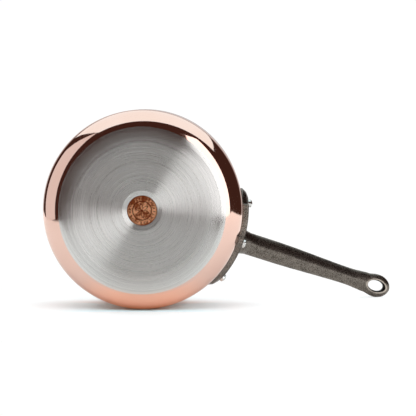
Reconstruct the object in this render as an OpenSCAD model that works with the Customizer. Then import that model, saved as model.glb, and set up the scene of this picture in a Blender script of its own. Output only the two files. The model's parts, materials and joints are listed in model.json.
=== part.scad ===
// Copper saucepan with a cast-iron handle and a lift-off glass lid.
// Upright, base on z = 0, pan axis on Z, handle along +X. Millimetres.

/* [Pan] */
// Inside diameter of the pan
inner_d = 200; // [160:2:240]
// Height from the resting face to the rim
pan_h = 110; // [100:1:130]
// Copper thickness
copper_t = 1.7; // [1.2:0.1:2.5]
// Steel lining thickness
lining_t = 0.3; // [0.2:0.1:0.6]
// Outside radius of the bend between base and wall
bend_r = 22; // [14:1:26]

/* [Base] */
// Diameter of the steel base disc
disc_d = 170; // [150:1:172]
// Thickness of the steel base disc
disc_t = 1; // [0.6:0.1:1.5]
// Diameter of the badge in the middle of the base
badge_d = 30.4; // [20:0.2:36]
// Diameter of the dished ring round the badge
dish_d = 40.6; // [38:0.2:48]
// Badge thickness
badge_t = 0.45; // [0.3:0.05:0.5]

/* [Handle plate] */
// Plate thickness
plate_t = 7; // [4:0.5:8]
// Height of the outer rivets and of the plate's band
rivet_z = 60; // [54:1:66]
// How far the middle rivet sits below the outer two
rivet_drop = 7; // [4:1:12]
// Angle from the middle rivet to each outer rivet
rivet_a = 22; // [18:0.5:24]
// Radius of the plate's rounded ends
ear_r = 16.5; // [14:0.5:17]
// Height of the arm's centre line where it leaves the plate
root_z = 75; // [70:1:84]

/* [Rivets] */
// Shank diameter
shank_d = 6; // [4:0.5:7]
// Outer head diameter
head_d = 8.2; // [7.6:0.1:9]
// Outer head height
head_h = 4.2; // [2:0.1:5]
// Inner head diameter
inner_head_d = 11; // [9:0.5:14]
// Inner head height
inner_head_h = 2; // [1:0.1:3]

/* [Handle arm] */
// Distance of the eye from the pan's axis
eye_x = 264; // [240:1:280]
// Height of the eye
eye_z = 145; // [135:1:165]
// Width of the arm along its inner half
arm_w = 23.6; // [18:0.2:26]
// Width of the arm just before the eye
neck_w = 18.8; // [15:0.2:20]
// Thickness of the arm at its middle
arm_t = 13.5; // [9:0.5:18]
// Width of the eye's hole
eye_hole_w = 11; // [8:0.5:14]
// Length of the eye's hole
eye_hole_l = 18.6; // [14:0.2:24]
// Width of the ring round the eye's hole
eye_ring_w = 6.6; // [5:0.2:8]

/* [Lid] */
// Glass thickness
glass_t = 4; // [3:0.5:5]
// Rise of the dome above its flat edge
dome_h = 17; // [10:1:26]
// Depth of the skirt inside the pan
skirt_h = 7; // [4:0.5:12]
// Radial clearance between the skirt and the pan
skirt_gap = 0.5; // [0.4:0.1:1.5]
// Distance of the steam vent from the middle
vent_x = 60; // [40:1:75]
// Vent bore diameter
vent_d = 3.6; // [2:0.2:4]

/* [Knob] */
// Knob diameter
knob_d = 38; // [30:1:50]
// Knob height above its base plate
knob_h = 25; // [20:1:32]
// Screw diameter
screw_d = 5; // [4:0.5:6]

/* [Hidden] */
inner_r = inner_d / 2;
wall_t = copper_t + lining_t;
outer_r = inner_r + wall_t;
floor_z = disc_t + wall_t;
plate_r = outer_r + plate_t;
seat_r = plate_r - 0.2;
mid_z = rivet_z - rivet_drop;
lid_gap = 0.05;
band_z = pan_h + lid_gap;
sheet = 0.6;
glass_z = band_z + sheet;
flat_r = inner_r - 8;
dome_ri = (flat_r * flat_r + dome_h * dome_h) / (2 * dome_h);
dome_ro = dome_ri + glass_t;
dome_z = glass_z + dome_h - dome_ri;
dome_r = sqrt(pow(dome_ro, 2) - pow(glass_z + glass_t - dome_z, 2));
in_top = dome_z + dome_ri;
out_top = dome_z + dome_ro;
vent_a = asin(vent_x / dome_ro);
base_top = out_top + 1.6;
tilt = 17.5;
fine = 0.01;

// ---- shared shapes ----

// Half section of a cup standing on z0, with its bottom corner rounded
module cup(r, corner, z0, z1) {
  translate([0, z0 + corner]) square([r, z1 - z0 - corner]);
  translate([0, z0]) square([r - corner, corner + fine]);
  translate([r - corner, z0 + corner]) circle(r = corner, $fn = 96);
}

// Half section of the steel base disc before its middle is cut
module disc_section() {
  intersection() {
    difference() {
      cup(outer_r, bend_r, 0, bend_r + 8);
      cup(outer_r - disc_t, bend_r - disc_t, disc_t, bend_r + 9);
    }
    square([disc_d / 2, bend_r]);
  }
}

// Places children on the wall at an angle and height, pointing outwards
module on_wall(a, z) {
  rotate([0, 0, a]) translate([0, 0, z]) rotate([0, 90, 0]) children();
}

// Places children on each of the three rivets
module at_rivets() {
  on_wall(0, mid_z) children();
  on_wall(rivet_a, rivet_z) children();
  on_wall(-rivet_a, rivet_z) children();
}

module rivet_holes() {
  at_rivets() translate([0, 0, outer_r - 12]) cylinder(r = shank_d / 2, h = 26, $fn = 48);
}

// ---- pan ----

module copper_body() {
  color([0.80, 0.45, 0.33])
  difference() {
    rotate_extrude($fn = 180)
    difference() {
      cup(outer_r, bend_r, 0, pan_h);
      cup(inner_r + lining_t, bend_r - disc_t - copper_t, disc_t + copper_t, pan_h + 1);
      disc_section();
      // eased outer edge of the rim
      translate([outer_r - 0.6, pan_h - 0.6]) difference() {
        square(1);
        circle(r = 0.6, $fn = 48);
      }
    }
    rivet_holes();
  }
}

module steel_lining() {
  color([0.78, 0.78, 0.77])
  difference() {
    rotate_extrude($fn = 180)
    difference() {
      cup(inner_r + lining_t, bend_r - disc_t - copper_t, disc_t + copper_t, pan_h);
      cup(inner_r, bend_r - disc_t - wall_t, floor_z, pan_h + 1);
    }
    rivet_holes();
  }
}

module base_disc() {
  color([0.66, 0.65, 0.63])
  rotate_extrude($fn = 180)
  difference() {
    disc_section();
    square([badge_d / 2 + 0.2, 2 * disc_t + 1]);
    // dished ring that runs down to the badge
    polygon([[0, -1], [dish_d / 2 + 5, -1], [dish_d / 2, 0],
             [badge_d / 2 + 0.2, disc_t - 0.15], [0, disc_t]]);
  }
}

module base_badge() {
  color([0.72, 0.38, 0.26])
  difference() {
    translate([0, 0, disc_t - badge_t]) cylinder(r = badge_d / 2, h = badge_t, $fn = 96);
    // stamped ring
    translate([0, 0, disc_t - badge_t - 1]) difference() {
      cylinder(r = badge_d * 0.33, h = 1.15, $fn = 96);
      translate([0, 0, -1]) cylinder(r = badge_d * 0.3, h = 3, $fn = 96);
    }
    // ring of stamped ticks
    for (i = [0:23])
      rotate([0, 0, i * 15]) translate([badge_d * 0.375, -0.35, disc_t - badge_t - 1])
        cube([2.1, 0.7, 1.15]);
  }
}

// ---- handle ----

function bez(p, t) = pow(1 - t, 3) * p[0] + 3 * t * pow(1 - t, 2) * p[1]
  + 3 * t * t * (1 - t) * p[2] + pow(t, 3) * p[3];
function bez_d(p, t) = 3 * pow(1 - t, 2) * (p[1] - p[0]) + 6 * t * (1 - t) * (p[2] - p[1])
  + 3 * t * t * (p[3] - p[2]);
function smooth(t) = let (u = max(0, min(1, t))) u * u * (3 - 2 * u);
function mix(a, b, t) = a + (b - a) * t;
function signed_pow(v, e) = sign(v) * pow(abs(v), e);

// Centre line of the arm in the XZ plane, from inside the plate to the eye
eye_back = eye_hole_l / 2 + 1.2;
arm_end = [eye_x - eye_back * cos(tilt), eye_z - eye_back * sin(tilt)];
arm_start = [outer_r + 2.5, root_z - 2.5];
eye_mid = [eye_x, eye_z];
eye_w = eye_hole_w / 2 + eye_ring_w * 1.08;
eye_l = eye_hole_l / 2 + eye_ring_w * 1.17;
arm_round = 24;
arm_keel = 1.3;
arm_path = [arm_start, arm_start + [42, 24], arm_end - 50 * [cos(tilt), sin(tilt)], arm_end];

// Half width and half thickness of the arm along its length
function arm_hw(t) = mix(arm_w * 0.6, arm_w / 2, smooth(t / 0.07))
  - (arm_w - neck_w) / 2 * smooth((t - 0.28) / 0.58)
  + (head_hw(-eye_back) - neck_w / 2) * smooth((t - 0.84) / 0.16);
function arm_ht(t) = mix(arm_t * 0.9, arm_t * 0.56, smooth(t / 0.12))
  - (arm_t * 0.06) * smooth(t / 0.5) - (arm_t * 0.11) * smooth((t - 0.5) / 0.5);

// Closed sweep through rings of points
module skin(rings, closed = false) {
  n = len(rings);
  m = len(rings[0]);
  last = closed ? n - 1 : n - 2;
  pts = [for (r = rings) each r];
  sides = [for (i = [0:last]) for (j = [0:m - 1]) let (k = (j + 1) % m, q = (i + 1) % n)
    each [[i * m + j, q * m + j, q * m + k], [i * m + j, q * m + k, i * m + k]]];
  ends = closed ? [] : [[for (j = [0:m - 1]) j], [for (j = [m - 1:-1:0]) (n - 1) * m + j]];
  polyhedron(points = pts, faces = concat(sides, ends));
}

// Half width and half thickness of the eye's head at a distance from the eye's middle
function head_hw(x) = x < 0 ? mix(eye_w, neck_w / 2 + 0.7, smooth(-x / (1.6 * eye_back)))
  : eye_w * sqrt(max(0, 1 - pow(x / eye_l, 2)));
function head_ht(x) = mix(arm_t * 0.39, eye_ring_w * 0.66, smooth((x + eye_back) / (1.2 * eye_back)))
  * (x < 0 ? 1 : pow(max(0, 1 - pow(x / eye_l, 4)), 0.5));

// One closed ring of the arm: centre, unit direction, half width, half thickness, fullness
function arm_ring(c, u, hw, ht, e) = [for (j = [0:arm_round - 1])
  let (a = 360 * j / arm_round, w = hw * signed_pow(cos(a), e), h = ht * signed_pow(sin(a), e))
  [c[0] - u[1] * h, w, c[1] + u[0] * h]];

// The arm and its head in one sweep, from inside the plate to the far end of the eye
module arm() {
  seg = 26;
  head = 14;
  along = [cos(tilt), sin(tilt)];
  body = [for (i = [0:seg - 1])
    let (t = i / seg, d = bez_d(arm_path, t))
    arm_ring(bez(arm_path, t), d / norm(d), arm_hw(t), arm_ht(t),
             mix(1.0, arm_keel, smooth(t / 0.12)))];
  back = [for (i = [0:4]) let (x = -eye_back * (1 - i / 5))
    arm_ring(eye_mid + x * along, along, head_hw(x), head_ht(x), mix(arm_keel, 1.02, smooth(i / 5)))];
  front = [for (i = [0:head]) let (x = eye_l * sin(86 * i / head))
    arm_ring(eye_mid + x * along, along, head_hw(x), head_ht(x), 1.02)];
  skin(concat(body, back, front));
}

// The eye's hole, rounded out towards both faces
module eye_hole() {
  deep = eye_ring_w * 0.66;
  translate([eye_x, 0, eye_z]) rotate([0, -tilt, 0])
  skin([for (i = [-5:5])
    let (z = i * (abs(i) == 5 ? 0.5 : 0.21) * deep, r = deep * 1.05)
    let (f = r - sqrt(max(0, pow(r, 2) - pow(min(deep, abs(z)), 2))))
    [for (j = [0:35]) let (a = 360 * j / 36)
      [(eye_hole_l / 2 + f * 0.7) * cos(a), (eye_hole_w / 2 + f * 0.7) * sin(a), z]]]);
}

// Disc of the plate with its outer rim bevelled in two steps
module ear(r, along, drop) {
  top = plate_r + 2;
  rotate_extrude($fn = 72)
  polygon([[0, 60], [r, 60], [r, plate_r - drop], [r - along * 0.4, plate_r - drop * 0.36],
           [r - along, plate_r + 0.15], [r - along, top], [0, top]]);
}

module plate() {
  difference() {
    intersection() {
      difference() {
        cylinder(r = plate_r, h = pan_h, $fn = 180);
        translate([0, 0, -1]) cylinder(r = outer_r + 0.05, h = pan_h + 2, $fn = 180);
      }
      union() {
        on_wall(rivet_a, rivet_z) ear(ear_r, 11, plate_t - 0.8);
        on_wall(-rivet_a, rivet_z) ear(ear_r, 11, plate_t - 0.8);
        on_wall(0, mid_z) cylinder(r = ear_r - 3, h = 2 * outer_r, $fn = 72);
        // band that joins the three
        rotate([0, 0, -rivet_a]) rotate_extrude(angle = 2 * rivet_a, $fn = 180)
          translate([outer_r - 5, rivet_z - ear_r]) square([plate_t + 10, 2 * ear_r]);
        // slopes beside the lower lobe, and shoulders up to the arm's root
        translate([outer_r - 10, 0, 0]) rotate([90, 0, 90]) linear_extrude(height = 30)
          polygon([[-30, rivet_z + 5], [-30, rivet_z - ear_r + 1], [-ear_r * 0.5, mid_z - ear_r * 0.66],
                   [ear_r * 0.5, mid_z - ear_r * 0.66], [30, rivet_z - ear_r + 1], [30, rivet_z + 5],
                   [13.6, root_z + 9], [-13.6, root_z + 9]]);
        on_wall(0, root_z + 2) cylinder(r = 15, h = 2 * outer_r, $fn = 72);
      }
    }
    // flat seats for the rivet heads
    at_rivets() translate([0, 0, seat_r]) cylinder(r = head_d / 2 + 0.6, h = 20, $fn = 48);
  }
}

module handle() {
  color([0.20, 0.19, 0.18])
  difference() {
    union() {
      plate();
      difference() {
        arm();
        // the arm stops at the wall and leaves the middle rivet's head clear
        cylinder(r = outer_r + 1, h = 2 * pan_h, $fn = 180);
        on_wall(0, mid_z) translate([0, 0, seat_r]) cylinder(r = head_d / 2 + 0.6, h = 14, $fn = 48);
      }
    }
    eye_hole();
    rivet_holes();
  }
}

// ---- rivets ----

module handle_rivets() {
  color([0.82, 0.82, 0.82])
  at_rivets() union() {
    translate([0, 0, inner_r - 0.4]) cylinder(r = shank_d / 2, h = seat_r - inner_r + 0.4 + fine, $fn = 48);
    // outer head, domed
    translate([0, 0, seat_r]) intersection() {
      cylinder(r = head_d / 2, h = head_h, $fn = 64);
      translate([0, 0, head_h - head_d * 0.72]) sphere(r = head_d * 0.72, $fn = 64);
    }
    // inner head, low and domed, shaped to the wall
    intersection() {
      translate([0, 0, inner_r - inner_head_h])
        cylinder(r = inner_head_d / 2, h = inner_head_h + 1, $fn = 64);
      translate([0, 0, inner_r - inner_head_h + inner_head_d * 1.1])
        sphere(r = inner_head_d * 1.1, $fn = 96);
      rotate([0, 90, 0]) translate([0, 0, -20]) cylinder(r = inner_r, h = 40, $fn = 180);
    }
  }
}

// ---- lid ----

// Half section of the glass: domed middle and flat edge
module glass_section() {
  intersection() {
    translate([0, dome_z]) difference() {
      circle(r = dome_ro, $fn = 360);
      circle(r = dome_ri, $fn = 360);
    }
    translate([screw_d / 2 + 1.8, glass_z]) square([dome_r - screw_d / 2 - 1.8, 60]);
  }
  translate([flat_r, glass_z]) square([outer_r - 2 - flat_r, glass_t]);
  translate([outer_r - 2 - fine, glass_z + 1]) square([1 + fine, glass_t - 2]);
  translate([outer_r - 2, glass_z + 1]) circle(r = 1, $fn = 48);
  translate([outer_r - 2, glass_z + glass_t - 1]) circle(r = 1, $fn = 48);
}

module lid_glass() {
  color([0.75, 0.85, 0.88, 0.4])
  difference() {
    rotate_extrude($fn = 180) glass_section();
    translate([0, 0, dome_z]) rotate([0, vent_a, 0]) translate([0, 0, dome_ri - 10])
      cylinder(r = 5, h = 30, $fn = 64);
  }
}

module lid_band() {
  bt = glass_t + 2 * sheet;
  color([0.84, 0.84, 0.85])
  rotate_extrude($fn = 180)
  difference() {
    union() {
      translate([outer_r - 6.5, band_z]) square([4.9, bt]);
      translate([outer_r - 2, band_z + 1.6]) square([1.6, bt - 3.2]);
      translate([outer_r - 2, band_z + 1.6]) circle(r = 1.6, $fn = 48);
      translate([outer_r - 2, band_z + bt - 1.6]) circle(r = 1.6, $fn = 48);
      // skirt that centres the lid in the pan
      translate([inner_r - skirt_gap - sheet, pan_h - skirt_h])
        square([sheet, skirt_h + lid_gap + sheet / 2]);
    }
    glass_section();
  }
}

module lid_vent() {
  color([0.84, 0.84, 0.85])
  translate([0, 0, dome_z]) rotate([0, vent_a, 0]) difference() {
    union() {
      translate([0, 0, dome_ri - 1]) cylinder(r = 4.9, h = glass_t + 2, $fn = 64);
      difference() {
        translate([0, 0, dome_ro - 1]) cylinder(r1 = 7.4, r2 = 6.6, h = 1.9, $fn = 64);
        sphere(r = dome_ro, $fn = 360);
      }
      intersection() {
        translate([0, 0, dome_ri - 0.9]) cylinder(r = 7, h = 1.5, $fn = 64);
        sphere(r = dome_ri, $fn = 360);
      }
    }
    translate([0, 0, dome_ri - 5]) cylinder(r = vent_d / 2, h = glass_t + 10, $fn = 48);
  }
}

module knob_seal() {
  color([0.12, 0.12, 0.12])
  rotate_extrude($fn = 96)
  translate([0, dome_z]) difference() {
    union() {
      intersection() {
        translate([0, dome_ri - 1.2]) square([9, 3]);
        circle(r = dome_ri, $fn = 360);
      }
      translate([0, dome_ri - 0.5]) square([screw_d / 2 + 1.8, glass_t + 0.42]);
    }
    translate([0, dome_ri - 5]) square([screw_d / 2, 20]);
  }
}

module knob_base() {
  color([0.84, 0.84, 0.85])
  rotate_extrude($fn = 96)
  translate([0, dome_z]) difference() {
    union() {
      translate([0, dome_ro - 1]) square([15.4, 2]);
      translate([0, dome_ro - 1]) square([14.8, 2.6]);
      translate([14.8, dome_ro + 1]) circle(r = 0.6, $fn = 32);
    }
    circle(r = dome_ro + 0.03, $fn = 360);
    translate([0, dome_ro - 5]) square([screw_d / 2, 20]);
  }
}

module knob() {
  cap = knob_h * 0.42;
  color([0.17, 0.16, 0.15])
  rotate_extrude($fn = 96)
  translate([0, base_top]) difference() {
    union() {
      // foot, neck and cap
      square([11, 1.5]);
      translate([10, 1]) circle(r = 1, $fn = 32);
      square([7, knob_h - 4]);
      intersection() {
        translate([0, 1.4]) square([12, 8]);
        difference() {
          square([10.6, 9]);
          translate([13.2, 8.4]) circle(r = 7, $fn = 64);
        }
      }
      intersection() {
        translate([0, knob_h - cap]) square([knob_d / 2, cap]);
        translate([0, knob_h - knob_d * 0.9]) circle(r = knob_d * 0.9, $fn = 128);
        translate([0, knob_h - cap + 26.5]) circle(r = 27.5 + knob_d * 0.12, $fn = 128);
      }
    }
    square([screw_d / 2, knob_h * 0.6]);
  }
}

module knob_washer() {
  color([0.84, 0.84, 0.85])
  translate([0, 0, in_top - 2.2]) difference() {
    cylinder(r = 7.5, h = 1, $fn = 64);
    translate([0, 0, -1]) cylinder(r = screw_d / 2, h = 3, $fn = 48);
  }
}

module knob_screw() {
  color([0.80, 0.80, 0.80])
  difference() {
    union() {
      translate([0, 0, in_top - 2.2 - 3]) intersection() {
        cylinder(r = 4.7, h = 3, $fn = 64);
        translate([0, 0, 7]) sphere(r = 7, $fn = 64);
      }
      translate([0, 0, in_top - 2.3])
        cylinder(r = screw_d / 2, h = base_top + knob_h * 0.55 - in_top + 2.3, $fn = 48);
    }
    // cross recess for the driver
    translate([-2.4, -0.5, in_top - 6]) cube([4.8, 1, 2.6]);
    translate([-0.5, -2.4, in_top - 6]) cube([1, 4.8, 2.6]);
  }
}

copper_body();
steel_lining();
base_disc();
base_badge();
handle();
handle_rivets();
lid_glass();
lid_band();
lid_vent();
knob_seal();
knob_base();
knob();
knob_washer();
knob_screw();
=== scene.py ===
import json
import math

import bmesh
import bpy
from mathutils import Matrix, Vector


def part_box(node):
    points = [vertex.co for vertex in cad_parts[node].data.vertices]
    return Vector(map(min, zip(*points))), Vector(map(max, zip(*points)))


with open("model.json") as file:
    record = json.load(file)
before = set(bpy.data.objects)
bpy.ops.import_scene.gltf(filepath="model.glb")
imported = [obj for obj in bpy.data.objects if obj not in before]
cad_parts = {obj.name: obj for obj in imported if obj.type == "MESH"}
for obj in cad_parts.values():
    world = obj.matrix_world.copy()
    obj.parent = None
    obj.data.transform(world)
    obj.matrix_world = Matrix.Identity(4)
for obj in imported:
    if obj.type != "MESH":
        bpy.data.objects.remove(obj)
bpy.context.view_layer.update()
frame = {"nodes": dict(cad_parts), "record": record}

# ---------------------------------------------------------------- directions and places, in metres
# The part stands upright. In the photograph it lies on its side, base to the camera, rolled
# so that the handle's eye rests on the ground: RIGHT and UP are the picture's directions,
# TOWARDS points from the base to the camera.
ROLL = math.radians(19.8)
RIGHT = Vector((math.cos(ROLL), -math.sin(ROLL), 0.0))
UP = Vector((-math.sin(ROLL), -math.cos(ROLL), 0.0))
TOWARDS = Vector((0.0, 0.0, -1.0))

body_lo, body_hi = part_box("copper_body")
disc_lo, disc_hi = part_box("base_disc")
badge_lo, badge_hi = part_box("base_badge")
WALL_R = (body_hi.y - body_lo.y) / 2
# the radius where the base turns up into the bend, 5 mm inside the steel disc's edge
BEND_START = (disc_hi.x - disc_lo.x) / 2 - 0.005
# how far under the pan's axis the ground lies in the photograph, just clear of the wall
GROUND_DEPTH = WALL_R + 0.0001

# the hole of the hanging eye
openings = {opening["name"]: opening["box_m"] for opening in frame["record"]["physics"]["openings"]}
EYE_CENTRE = (Vector(openings["handle_eye"][0]) + Vector(openings["handle_eye"][1])) / 2
EYE_LEAN = math.radians(17.5)
EYE_HALF_LENGTH = 0.0093
EYE_HALF_WIDTH = 0.0055

# the camera's place and the point it looks at, from the middle of the base
CAMERA_DISTANCE = 2.0
CAMERA_RIGHT = 0.0671
CAMERA_UP = 0.1119
AIM_RIGHT = 0.0667
AIM_UP = 0.0027
LENS_MM = 171.4
SENSOR_MM = 36.0

# half the side of the floors that the camera sees, and the radius of the shell round everything
FLOOR_REACH = 3.0
BACKDROP_R = 12.0


# ---------------------------------------------------------------- colours
def rgb(red, green, blue):
    return red, green, blue, 1.0


def scaled(colour, by):
    """The colour made lighter or darker."""
    return rgb(*(min(1.0, channel * by) for channel in colour[:3]))


COPPER_DULL = rgb(0.92, 0.625, 0.53)
COPPER_BRIGHT = rgb(0.935, 0.65, 0.56)
BASE_STEEL_LIGHT = rgb(0.88, 0.875, 0.86)
BASE_STEEL_DARK = rgb(0.64, 0.635, 0.62)
LINING_LIGHT = rgb(0.72, 0.71, 0.69)
LINING_DARK = rgb(0.64, 0.63, 0.62)
BADGE_WORN = rgb(0.26, 0.06, 0.018)
# the badge's lighter patches are painted sheen
BADGE_PAINTED_SHEEN = rgb(1.0, 0.50, 0.27)
BADGE_MARKS = rgb(0.11, 0.010, 0.002)
IRON_LIGHT = rgb(0.262, 0.228, 0.198)
IRON_DARK = rgb(0.100, 0.086, 0.074)
KNOB_LIGHT = rgb(0.24, 0.22, 0.20)
KNOB_DARK = rgb(0.10, 0.09, 0.08)
# painted shade inside the hole of the handle's eye
EYE_HOLE_SHADE = rgb(0.012, 0.010, 0.009)
# painted shade on the handle's plate: where it meets the wall and on its outer face
PLATE_SHADE = rgb(0.02, 0.014, 0.011)
RIVET_STEEL = rgb(0.82, 0.81, 0.79)
BAND_STEEL = rgb(0.80, 0.80, 0.79)
VENT_STEEL = rgb(0.78, 0.78, 0.77)
WASHER_STEEL = rgb(0.70, 0.70, 0.69)
SCREW_STEEL = rgb(0.74, 0.74, 0.74)
GLASS_TINT = rgb(0.93, 0.98, 0.965)
RUBBER_DARK = rgb(0.02, 0.02, 0.02)
RUBBER_LIGHT = rgb(0.045, 0.045, 0.045)

WHITE = rgb(1.0, 1.0, 1.0)
FLOOR_WHITE = rgb(0.90, 0.90, 0.90)
TABLE_WHITE = rgb(0.93, 0.93, 0.93)
# the ground under the pan is cooler than the floor, because the copper throws warm light on it
UNDER_PAN_COOL = rgb(0.70, 0.94, 1.0)
# the bounce ground near the pan is warmer: painted warm light thrown by the copper
BOUNCE_NEAR = rgb(0.70, 0.60, 0.53)
BOUNCE_FAR = rgb(0.64, 0.63, 0.62)
COPPER_SPILL = rgb(1.0, 0.50, 0.26)
LIGHT_COOL = rgb(0.92, 1.06, 1.09)
LIGHT_NEUTRAL = rgb(1.0, 0.99, 0.99)
ROOM_DARK = rgb(0.048, 0.021, 0.0155)
ROOM_SCREEN = rgb(0.62, 0.575, 0.56)


# ---------------------------------------------------------------- node graphs
class Graph:
    """The nodes of a material or world. An input is a number, a colour, a vector or a socket.
    add gives the new node, and the calls after it give output sockets."""

    def __init__(self, tree):
        self.nodes = tree.nodes
        self.links = tree.links

    def set(self, node, inputs):
        for slot, value in inputs.items():
            if isinstance(value, bpy.types.NodeSocket):
                self.links.new(value, node.inputs[slot])
            else:
                node.inputs[slot].default_value = value

    def add(self, kind, inputs=None, **settings):
        node = self.nodes.new("ShaderNode" + kind)
        for name, value in settings.items():
            setattr(node, name, value)
        self.set(node, inputs or {})
        return node

    def place(self):
        """The point's place on its object, which is its place in the part's frame."""
        return self.add("TexCoord").outputs["Object"]

    def calc(self, operation, a, b=0.0):
        return self.add("Math", {0: a, 1: b}, operation=operation).outputs[0]

    def times(self, a, b):
        return self.calc("MULTIPLY", a, b)

    def minus(self, a, b):
        return self.calc("SUBTRACT", a, b)

    def larger(self, a, b):
        return self.calc("MAXIMUM", a, b)

    def weighted(self, *shares):
        """Sum of values, each given with its share."""
        total = None
        for value, share in shares:
            part = self.times(value, share)
            total = part if total is None else self.calc("ADD", total, part)
        return total

    def ramp(self, value, low, high, out_low=0.0, out_high=1.0):
        """Goes smoothly from out_low, where the value is low, to out_high, where it is high."""
        inputs = {"Value": value, "From Min": low, "From Max": high, "To Min": out_low, "To Max": out_high}
        return self.add("MapRange", inputs, interpolation_type="SMOOTHSTEP").outputs[0]

    def mix(self, factor, a, b):
        """A colour from a, where the factor is 0, to b, where it is 1."""
        return self.add("Mix", {0: factor, 6: a, 7: b}, data_type="RGBA").outputs[2]

    def mix_value(self, factor, a, b):
        return self.add("Mix", {0: factor, 2: a, 3: b}, data_type="FLOAT").outputs[0]

    def noise(self, place, scale, detail=3.0, rough=0.6):
        inputs = {"Vector": place, "Scale": scale, "Detail": detail, "Roughness": rough}
        return self.add("TexNoise", inputs).outputs[0]

    def bump(self, height, distance, strength=1.0, normal=None):
        inputs = {"Height": height, "Distance": distance, "Strength": strength}
        if normal is not None:
            inputs["Normal"] = normal
        return self.add("Bump", inputs).outputs[0]

    def dot(self, vector, direction):
        node = self.add("VectorMath", {0: vector, 1: direction}, operation="DOT_PRODUCT")
        return node.outputs["Value"]

    def split(self, vector):
        return self.add("SeparateXYZ", {0: vector}).outputs

    def combine(self, x, y, z=0.0):
        return self.add("CombineXYZ", {0: x, 1: y, 2: z}).outputs[0]

    def polar(self, place):
        """Radius from the pan's axis, angle in turns, and height above the base."""
        x, y, height = self.split(place)
        radius = self.calc("SQRT", self.calc("ADD", self.times(x, x), self.times(y, y)))
        turns = self.calc("DIVIDE", self.calc("ARCTAN2", y, x), 2 * math.pi)
        return radius, turns, height

    def emission(self, colour, strength):
        return self.add("Emission", {"Color": colour, "Strength": strength}).outputs[0]

    def mix_shader(self, factor, a, b):
        return self.add("MixShader", {0: factor, 1: a, 2: b}).outputs[0]

    def surface(self, shader, output="OutputMaterial"):
        """Ends the graph: the shader is what shows."""
        self.add(output, {"Surface": shader})


def principled(name):
    """A new material, its graph and its Principled shader."""
    material = bpy.data.materials.new(name)
    material.use_nodes = True
    tree = material.node_tree
    return material, Graph(tree), tree.nodes["Principled BSDF"]


def bare_material(name):
    """A new material and its empty graph."""
    material = bpy.data.materials.new(name)
    material.use_nodes = True
    material.node_tree.nodes.clear()
    return material, Graph(material.node_tree)


# ---------------------------------------------------------------- the object's materials
# the polished edge of the base disc
RIM_ROUGHNESS = 0.20


def copper_material():
    """Polished copper with faint tarnish, and fine polishing lines that run round the pan."""
    material, graph, shader = principled("polished_copper")
    place = graph.place()
    tarnish = graph.noise(place, scale=22.0)
    haze = graph.noise(place, scale=420.0)
    radius, turns, height = graph.polar(place)
    round_the_pan = graph.combine(radius, graph.times(turns, 0.004), height)
    lines = graph.noise(round_the_pan, scale=3800.0, detail=2.0)
    graph.set(shader, {
        "Base Color": graph.mix(graph.ramp(tarnish, 0.35, 0.7), COPPER_DULL, COPPER_BRIGHT),
        "Metallic": 1.0,
        "Roughness": graph.ramp(haze, 0.3, 0.75, 0.055, 0.085),
        "Normal": graph.bump(lines, distance=0.000004, strength=0.5),
    })
    return material


def spun_steel(name, light, dark, anisotropy, rough, line_depth, rim=None):
    """Steel brushed in circles round the pan's axis. Near the rim radius it is polished and
    its edge is eased over."""
    material, graph, shader = principled(name)
    radius, turns = graph.polar(graph.place())[:2]
    ring = graph.combine(radius, graph.times(turns, 0.0007))
    coarse = graph.noise(ring, scale=330.0)
    fine = graph.noise(ring, scale=2600.0, rough=0.7)
    lines = graph.weighted((coarse, 0.2), (fine, 0.8))
    roughness = graph.ramp(lines, 0.35, 0.65, rough - 0.02, rough + 0.03)
    eased = None
    if rim is not None:
        polish = graph.ramp(radius, rim - 0.014, rim + 0.001)
        roughness = graph.mix_value(polish, roughness, RIM_ROUGHNESS)
        rounding = graph.ramp(radius, rim - 0.016, rim + 0.007, 1.0, 0.0)
        eased = graph.bump(rounding, distance=0.0010)
    tangent = graph.add("Tangent", direction_type="RADIAL", axis="Z")
    graph.set(shader, {
        "Base Color": graph.mix(graph.ramp(lines, 0.34, 0.66), dark, light),
        "Metallic": 1.0,
        "Roughness": roughness,
        # the brush marks run round, so the gloss spreads along the radius
        "Anisotropic": anisotropy,
        "Anisotropic Rotation": 0.25,
        "Tangent": tangent.outputs[0],
        "Normal": graph.bump(lines, line_depth, strength=0.5, normal=eased),
    })
    return material


def badge_material():
    """Stamped copper: dark in the recesses and at the edge, with a generic rosette of six
    petals and a dot in the middle. Its lighter patches are painted sheen over the stain."""
    material, graph, shader = principled("stamped_copper")
    place = graph.place()
    radius, turns, height = graph.polar(place)
    along = graph.calc("DIVIDE", radius, (badge_hi.x - badge_lo.x) / 2)
    petals = graph.calc("COSINE", graph.times(turns, 6 * 2 * math.pi))
    leaf = graph.calc("ADD", graph.times(petals, 0.15), 0.31)
    outline = graph.calc("ABSOLUTE", graph.minus(along, leaf))
    dot = graph.ramp(along, 0.10, 0.07)
    cut = graph.larger(graph.ramp(outline, 0.065, 0.035), dot)
    recess = graph.ramp(height, badge_lo.z + 0.00005, badge_lo.z + 0.00012)
    edge = graph.ramp(along, 0.90, 0.98)
    grain = graph.noise(place, scale=900.0, detail=4.0)
    stain = graph.noise(place, scale=110.0)
    # a noise for the stain and for painted sheen: the lighter patches stand in for highlights
    tone_and_painted_light = graph.weighted((grain, 0.3), (stain, 0.7))
    ground = graph.mix(graph.ramp(tone_and_painted_light, 0.42, 0.60), BADGE_WORN, BADGE_PAINTED_SHEEN)
    marks = graph.larger(graph.larger(graph.times(cut, 0.95), recess), graph.times(edge, 0.6))
    stamped = graph.minus(graph.times(tone_and_painted_light, 0.35), cut)
    graph.set(shader, {
        "Base Color": graph.mix(marks, ground, BADGE_MARKS),
        "Metallic": 1.0,
        "Roughness": graph.ramp(tone_and_painted_light, 0.35, 0.65, 0.42, 0.28),
        "Normal": graph.bump(stamped, distance=0.00018, strength=0.8),
    })
    return material


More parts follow.
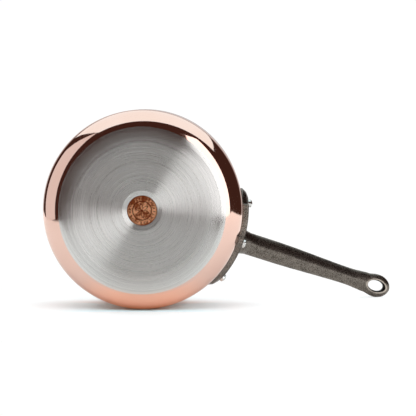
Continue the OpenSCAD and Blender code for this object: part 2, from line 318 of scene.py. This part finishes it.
def iron_material(name, light, dark, rough, pit_depth, tone_and_painted_light=None):
    """Oiled cast iron: fine sandy grain with pits, lighter on the high spots. An optional function
    changes the colour by place; the handle's paints highlight and shade."""
    material, graph, shader = principled(name)
    place = graph.place()
    grain = graph.noise(place, scale=1100.0)
    lumps = graph.noise(place, scale=140.0)
    cells = graph.add("TexVoronoi", {"Vector": place, "Scale": 520.0, "Randomness": 1.0}, feature="F1")
    pits = graph.ramp(cells.outputs["Distance"], 0.12, 0.42)
    high_spots = graph.weighted((grain, 0.6), (lumps, 0.25), (pits, 0.15))
    colour = graph.mix(graph.ramp(high_spots, 0.46, 0.64), dark, light)
    # the handle's function paints highlight and shade by place
    if tone_and_painted_light is not None:
        colour = tone_and_painted_light(graph, place, colour, light)
    surface = graph.weighted((grain, 0.5), (pits, 0.4), (lumps, 0.5))
    graph.set(shader, {
        "Base Color": colour,
        "Metallic": 1.0,
        "Roughness": graph.ramp(grain, 0.3, 0.7, rough - 0.05, rough + 0.09),
        "Normal": graph.bump(surface, pit_depth, strength=0.8),
    })
    return material


def handle_painted_light(graph, place, colour, light):
    """Paints light and shade on the handle: a painted highlight on the rim round its eye, painted
    shade black inside the hole, and painted shade on the face of its plate and where the plate
    meets the wall."""
    out = eye_distance(graph, place)
    # painted highlight: a lighter ring on the rounded rim round the eye's hole
    eye_rim_highlight = graph.times(graph.ramp(out, 1.16, 1.26), graph.ramp(out, 1.48, 1.30))
    colour = graph.mix(eye_rim_highlight, colour, scaled(light, 2.2))
    # painted shade: near black inside the eye's hole
    colour = graph.mix(graph.ramp(out, 1.24, 1.10), colour, EYE_HOLE_SHADE)
    radius = graph.polar(place)[0]
    # painted shade where the plate meets the wall, and on the plate's outer face
    joint = graph.ramp(radius, WALL_R + 0.0016, WALL_R + 0.0002)
    face = graph.ramp(radius, WALL_R + 0.0054, WALL_R + 0.0068, 0.0, 0.55)
    plate = graph.ramp(radius, WALL_R + 0.0085, WALL_R + 0.0075)
    return graph.mix(graph.larger(joint, graph.times(face, plate)), colour, PLATE_SHADE)


def eye_distance(graph, place):
    """Distance from the axis of the handle's eye, 1 at the wall of the hole."""
    offset = graph.add("VectorMath", {0: place, 1: EYE_CENTRE}, operation="SUBTRACT").outputs[0]
    long_way = Vector((math.cos(EYE_LEAN), 0.0, math.sin(EYE_LEAN)))
    lengthways = graph.dot(offset, long_way / EYE_HALF_LENGTH)
    widthways = graph.dot(offset, Vector((0.0, 1.0, 0.0)) / EYE_HALF_WIDTH)
    squares = graph.calc("ADD", graph.times(lengthways, lengthways), graph.times(widthways, widthways))
    return graph.calc("SQRT", squares)


def bright_steel(name, colour, rough):
    """Polished steel with faint smears."""
    material, graph, shader = principled(name)
    smear = graph.noise(graph.place(), scale=350.0)
    graph.set(shader, {
        "Base Color": graph.mix(smear, colour, scaled(colour, 0.9)),
        "Metallic": 1.0,
        "Roughness": graph.ramp(smear, 0.3, 0.7, rough, rough + 0.07),
        "Normal": graph.bump(smear, distance=0.00002, strength=0.4),
    })
    return material


def glass_material():
    material, graph, shader = principled("lid_glass_clear")
    smear = graph.noise(graph.place(), scale=30.0, detail=4.0)
    graph.set(shader, {
        "Base Color": GLASS_TINT,
        "Transmission Weight": 1.0,
        "IOR": 1.5,
        "Roughness": graph.ramp(smear, 0.4, 0.75, 0.0, 0.03),
    })
    return material


def rubber_material():
    material, graph, shader = principled("silicone_rubber")
    grain = graph.noise(graph.place(), scale=900.0)
    graph.set(shader, {
        "Base Color": graph.mix(grain, RUBBER_DARK, RUBBER_LIGHT),
        "Roughness": graph.ramp(grain, 0.3, 0.7, 0.55, 0.7),
        "Normal": graph.bump(grain, distance=0.00004, strength=0.5),
    })
    return material


def paint_all():
    looks = {
        "copper_body": copper_material(),
        "base_disc": spun_steel("spun_base_steel", BASE_STEEL_LIGHT, BASE_STEEL_DARK, anisotropy=1.0,
                                rough=0.28, line_depth=0.000005, rim=BEND_START),
        "steel_lining": spun_steel("satin_lining", LINING_LIGHT, LINING_DARK, anisotropy=0.7,
                                   rough=0.27, line_depth=0.000004),
        "base_badge": badge_material(),
        # the handle's cast iron gets painted highlight and painted shade by place
        "handle": iron_material("cast_iron", IRON_LIGHT, IRON_DARK, rough=0.28, pit_depth=0.00010,
                                tone_and_painted_light=handle_painted_light),
        "handle_rivets": bright_steel("rivet_steel", RIVET_STEEL, rough=0.14),
        "lid_glass": glass_material(),
        "lid_band": bright_steel("band_steel", BAND_STEEL, rough=0.12),
        "lid_vent": bright_steel("vent_steel", VENT_STEEL, rough=0.15),
        "knob_seal": rubber_material(),
        "knob_base": bright_steel("knob_base_steel", BAND_STEEL, rough=0.16),
        "knob": iron_material("knob_iron", KNOB_LIGHT, KNOB_DARK, rough=0.32, pit_depth=0.00014),
        "knob_washer": bright_steel("washer_steel", WASHER_STEEL, rough=0.25),
        "knob_screw": bright_steel("screw_steel", SCREW_STEEL, rough=0.2),
    }
    for node, material in looks.items():
        slots = frame["nodes"][node].data.materials
        slots.clear()
        slots.append(material)


def soften(node, cell, passes):
    """Rounds a casting's edges: an even skin over the CAD shape, then smoothed."""
    obj = frame["nodes"][node]
    skin = obj.modifiers.new("skin", "REMESH")
    skin.mode = "VOXEL"
    skin.voxel_size = cell
    skin.use_smooth_shade = True
    rub = obj.modifiers.new("rub", "SMOOTH")
    rub.factor = 0.5
    rub.iterations = passes


# ---------------------------------------------------------------- studio
def make_camera():
    data = bpy.data.cameras.new("camera")
    data.lens = LENS_MM
    data.sensor_width = SENSOR_MM
    data.clip_start = 0.05
    data.clip_end = 60.0
    camera = bpy.data.objects.new("camera", data)
    bpy.context.scene.collection.objects.link(camera)
    place = TOWARDS * CAMERA_DISTANCE + RIGHT * CAMERA_RIGHT + UP * CAMERA_UP
    aim = RIGHT * AIM_RIGHT + UP * AIM_UP
    back = (place - aim).normalized()
    side = UP.cross(back).normalized()
    top = back.cross(side)
    turn = Matrix((side, top, back)).transposed().to_4x4()
    camera.matrix_world = Matrix.Translation(place) @ turn
    bpy.context.scene.camera = camera


def stage_object(name, mesh, material):
    """Adds a mesh that is part of the studio and not of the object."""
    obj = bpy.data.objects.new(name, mesh)
    obj.data.materials.append(material)
    bpy.context.scene.collection.objects.link(obj)
    return obj


def flat_sheet(name, corners, material):
    mesh = bpy.data.meshes.new(name)
    mesh.from_pydata([tuple(corner) for corner in corners], [], [tuple(range(len(corners)))])
    return stage_object(name, mesh, material)


def see_by(obj, camera=False, diffuse=False, glossy=False, transmission=False, shadow=False):
    obj.visible_camera = camera
    obj.visible_diffuse = diffuse
    obj.visible_glossy = glossy
    obj.visible_transmission = transmission
    obj.visible_shadow = shadow


def emission_material(name, colour, strength):
    material, graph = bare_material(name)
    graph.surface(graph.emission(colour, strength))
    return material


def one_sided(name, near, far, edge, near_glow, far_glow, reach, fade):
    """A pale surface that is clear from behind. Under the pan, and as far as edge in front of
    it, it has the near colour and gives back near_glow of the copper's light, a painted glow.
    Along the line where the pan touches it, it is darker: a painted contact shadow. Past reach
    (metres from the pan's base, less along its axis) it fades to an even glow, so no far
    edge shows."""
    material, graph = bare_material(name)
    place = graph.place()
    sideways = graph.calc("ABSOLUTE", graph.dot(place, RIGHT))
    depth = graph.split(place)[2]
    front = graph.times(depth, -1.0)
    # 1 on the ground under the pan, 0 away from it
    towards_rim = graph.ramp(depth, body_hi.z - 0.07, body_hi.z - 0.01, 0.0, 0.1)
    past_base = graph.ramp(front, -0.005, edge, 0.0, 0.1)
    away_from_pan = graph.larger(graph.larger(sideways, towards_rim), past_base)
    under = graph.ramp(away_from_pan, 0.02, 0.10, 1.0, 0.0)
    # painted contact shadow: darker in a narrow band along the line where the wall touches it, up to the
    # base's bend
    line_end = -0.02 - 0.8 * edge
    touch = graph.ramp(sideways, 0.004, 0.022, 0.62, 1.0)
    touch = graph.larger(touch, graph.ramp(front, line_end, line_end + 0.036))
    touch = graph.larger(touch, graph.minus(1.0, under))
    shade = graph.add("VectorMath", {0: graph.mix(under, far, near), "Scale": touch}, operation="SCALE")
    diffuse = graph.add("BsdfDiffuse", {"Color": shade.outputs[0]}).outputs[0]
    # painted glow of the copper's light on the ground; it is no lamp
    spill = graph.emission(COPPER_SPILL, graph.times(under, near_glow))
    shaded = graph.add("AddShader", {0: diffuse, 1: spill}).outputs[0]
    squeezed = graph.add("VectorMath", {0: place, 1: (1.0, 1.0, 2.2)}, operation="MULTIPLY")
    distance = graph.add("VectorMath", {0: squeezed.outputs[0]}, operation="LENGTH").outputs["Value"]
    even = graph.emission(WHITE, far_glow)
    front_side = graph.mix_shader(graph.ramp(distance, reach, reach + fade), shaded, even)
    backfacing = graph.add("NewGeometry").outputs["Backfacing"]
    clear = graph.add("BsdfTransparent").outputs[0]
    graph.surface(graph.mix_shader(backfacing, front_side, clear))
    return material


def make_floor(name, middle, across, along, steps, facing, material):
    """A flat floor whose corners are the given steps across and along from its middle."""
    floor = flat_sheet(name, [middle + across * a + along * b for a, b in steps], material)
    if floor.data.polygons[0].normal.dot(facing) < 0:
        floor.data.flip_normals()
    return floor


def make_floors():
    square = [(FLOOR_REACH * a, FLOOR_REACH * b) for a, b in ((-1, -1), (-1, 1), (1, 1), (1, -1))]
    # the ground that the pan lies on in the photograph, seen by the camera only
    middle = -UP * GROUND_DEPTH
    look = one_sided("side_ground", UNDER_PAN_COOL, FLOOR_WHITE, edge=0.012, near_glow=0.0,
                     far_glow=1.02, reach=0.32, fade=0.25)
    see_by(make_floor("side_ground", middle, RIGHT, TOWARDS, square, UP, look), camera=True)
    # just under it, the ground that lights the pan and shows in its polished sides
    outline = ((-1.15, -1.5), (-0.45, 0.8), (1.5, 0.8), (0.5, -1.5))
    look = one_sided("side_ground_bounce", BOUNCE_NEAR, BOUNCE_FAR, edge=0.05, near_glow=0.14,
                     far_glow=0.8, reach=2.5, fade=0.5)
    bounce = make_floor("side_ground_bounce", middle - UP * 0.0002, RIGHT, TOWARDS, outline, UP, look)
    see_by(bounce, diffuse=True, glossy=True, shadow=True)
    # the table under the pan when it stands upright
    look = one_sided("table", TABLE_WHITE, TABLE_WHITE, edge=0.012, near_glow=0.0,
                     far_glow=1.0, reach=0.12, fade=0.15)
    across, along, up = Matrix.Identity(3)
    see_by(make_floor("table", up * -0.0004, across, along, square, up, look), camera=True)


def make_backdrop():
    mesh = bpy.data.meshes.new("backdrop")
    shell = bmesh.new()
    bmesh.ops.create_icosphere(shell, subdivisions=4, radius=BACKDROP_R)
    shell.to_mesh(mesh)
    shell.free()
    backdrop = stage_object("backdrop", mesh, emission_material("backdrop", WHITE, 1.02))
    see_by(backdrop, camera=True, transmission=True)


def make_world():
    """A dark room with a pale screen behind the pan, which is above it when it stands."""
    world = bpy.data.worlds.new("studio")
    bpy.context.scene.world = world
    world.use_nodes = True
    world.node_tree.nodes.clear()
    graph = Graph(world.node_tree)
    height = graph.split(graph.add("TexCoord").outputs["Generated"])[2]
    screen = graph.ramp(height, math.cos(math.radians(42)), math.cos(math.radians(24)))
    colour = graph.mix(screen, ROOM_DARK, ROOM_SCREEN)
    background = graph.add("Background", {"Color": colour, "Strength": 1.0})
    graph.surface(background.outputs[0], output="OutputWorld")


def direction(azimuth, tilt):
    """A direction seen from the base: azimuth in degrees anticlockwise from RIGHT, tilt in
    degrees away from the camera's axis."""
    a = math.radians(azimuth)
    t = math.radians(tilt)
    return RIGHT * (math.sin(t) * math.cos(a)) + UP * (math.sin(t) * math.sin(a)) + TOWARDS * math.cos(t)


def softbox(name, normal, distance, corners, colour, strength, glossy=True):
    """A flat light whose corners lie in the given directions (azimuth, tilt) from the base."""
    points = []
    for azimuth, tilt in corners:
        ray = direction(azimuth, tilt)
        points.append(ray * (distance / ray.dot(normal)))
    box = flat_sheet(name, points, emission_material(name, colour, strength))
    see_by(box, diffuse=True, glossy=glossy)


def make_lights():
    softbox("overhead", UP, distance=1.3, colour=LIGHT_COOL, strength=1.12,
            corners=((38.5, 80), (48.5, 144), (138, 133), (122, 57)))
    softbox("left_screen", -RIGHT, distance=1.2, colour=LIGHT_NEUTRAL, strength=0.78,
            corners=((123.5, 61), (146, 114), (189, 115), (189, 52)))
    softbox("front_light", direction(28, 36), distance=1.5, colour=LIGHT_NEUTRAL, strength=1.8,
            corners=((-8, 51), (52, 61), (60, 45), (26, 8), (-32, 7)))
    # lights the ground, and doesn't show in the polished copper
    softbox("ground_key", UP, distance=1.35, colour=LIGHT_NEUTRAL, strength=2.8, glossy=False,
            corners=((16, 72), (16, 155), (164, 155), (164, 72)))


def colour_management():
    view = bpy.context.scene.view_settings
    view.view_transform = "Standard"
    view.look = "None"
    view.exposure = 0.0
    view.gamma = 1.0


make_camera()
make_world()
make_backdrop()
make_floors()
make_lights()
colour_management()
paint_all()
soften("handle", cell=0.0007, passes=5)
